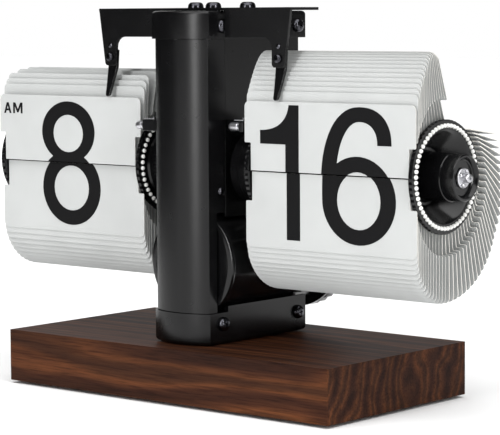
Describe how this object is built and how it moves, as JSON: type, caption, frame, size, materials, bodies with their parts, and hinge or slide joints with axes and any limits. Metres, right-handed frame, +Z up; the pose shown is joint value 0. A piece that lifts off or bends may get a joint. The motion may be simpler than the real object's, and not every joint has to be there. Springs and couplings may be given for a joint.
{
  "type": "flip number clock",
  "caption": "Desk clock with drums of hinged white number cards on either side of a black column, a battery canister through the column and a walnut foot.",
  "frame": {"origin": "underside of the rest pad, below the middle of the column", "axes": "+X to the viewer's right along the drum axis, +Y to the back, +Z up"},
  "size_m": [0.256, 0.1003, 0.1682],
  "materials": {
    "walnut": "oiled walnut",
    "felt": "felt",
    "black_enamel": "satin black enamel",
    "black_plastic": "semi-gloss",
    "pin_nylon": "smooth",
    "card_white": "matt sheet",
    "steel": "bright zinc",
    "blackened_steel": "black oxide",
    "brass": "machined",
    "cell_jacket": "printed jacket"
  },
  "bodies": {
    "frame": {"walnut_foot": "walnut", "rest_pad": "felt", "bottom_cap": "black_enamel", "top_cap": "black_enamel", "front_shell": "black_enamel", "chassis_frame": "black_enamel", "top_bracket": "black_enamel", "canister_cradle": "black_plastic", "battery_canister": "black_plastic", "left_finger": "black_plastic", "right_finger": "black_plastic", "minute_guide_arm": "black_plastic", "hour_guide_arm": "black_plastic", "minute_upper_cards": "card_white", "minute_rear_cards": "card_white", "minute_lower_cards": "card_white", "hour_upper_cards": "card_white", "hour_rear_cards": "card_white", "hour_lower_cards": "card_white", "foot_bolt_front": "steel", "foot_bolt_rear": "steel", "motor_body": "steel", "centre_plate": "steel", "minute_guide_pin": "steel", "hour_guide_pin": "steel", "battery_cell": "cell_jacket", "left_lower_front_screw": "blackened_steel", "left_lower_rear_screw": "blackened_steel", "left_upper_front_screw": "blackened_steel", "left_upper_rear_screw": "blackened_steel", "right_lower_front_screw": "blackened_steel", "right_lower_rear_screw": "blackened_steel", "right_upper_front_screw": "blackened_steel", "right_upper_rear_screw": "blackened_steel", "left_shell_screw": "blackened_steel", "right_shell_screw": "blackened_steel", "left_finger_screw": "blackened_steel", "right_finger_screw": "blackened_steel", "top_screw_1": "blackened_steel", "top_screw_2": "blackened_steel", "top_screw_3": "blackened_steel"},
    "minute_drum": {"minute_inner_hub": "black_plastic", "minute_outer_hub": "black_plastic", "minute_inner_pins": "pin_nylon", "minute_outer_pins": "pin_nylon", "minute_axle": "steel", "minute_hub_screw": "steel", "minute_wheel": "brass"},
    "hour_drum": {"hour_inner_hub": "black_plastic", "hour_outer_hub": "black_plastic", "hour_inner_pins": "pin_nylon", "hour_outer_pins": "pin_nylon", "hour_axle": "steel", "hour_hub_screw": "steel", "hour_wheel": "brass"},
    "lay_arbor": {"lay_arbor": "brass"},
    "motor_pinion": {"motor_pinion": "brass"},
    "minute_card": {"minute_front_card": "card_white"},
    "hour_card": {"hour_front_card": "card_white"},
    "cap": {"battery_cap": "black_plastic"}
  },
  "joints": [
    {"name": "minute_spin", "type": "hinge", "parent": "frame", "child": "minute_drum", "pos_m": [0, -0.0043, 0.0982], "axis": [1, 0, 0], "continuous": true},
    {"name": "hour_spin", "type": "hinge", "parent": "frame", "child": "hour_drum", "pos_m": [0, -0.0043, 0.0982], "axis": [1, 0, 0], "continuous": true},
    {"name": "lay_spin", "type": "hinge", "parent": "frame", "child": "lay_arbor", "pos_m": [0, -0.0043, 0.1157], "axis": [1, 0, 0], "continuous": true},
    {"name": "motor_spin", "type": "hinge", "parent": "frame", "child": "motor_pinion", "pos_m": [0, 0.0132, 0.0982], "axis": [1, 0, 0], "continuous": true},
    {"name": "minute_card_fall", "type": "hinge", "parent": "frame", "child": "minute_card", "pos_m": [0.0732, -0.0255, 0.09927], "axis": [1, 0, 0], "range_deg": [0, 178]},
    {"name": "hour_card_fall", "type": "hinge", "parent": "frame", "child": "hour_card", "pos_m": [-0.0732, -0.0255, 0.09947], "axis": [1, 0, 0], "range_deg": [0, 178]},
    {"name": "battery_cap_unscrew", "type": "hinge", "parent": "frame", "child": "cap", "pos_m": [0, 0.0455, 0.0582], "axis": [0, 1, 0], "continuous": true}
  ],
  "couplings": [
    {"joint": "hour_spin", "follows": "minute_spin", "ratio": 0.041667},
    {"joint": "lay_spin", "follows": "minute_spin", "ratio": -0.25},
    {"joint": "motor_spin", "follows": "minute_spin", "ratio": -6}
  ]
}
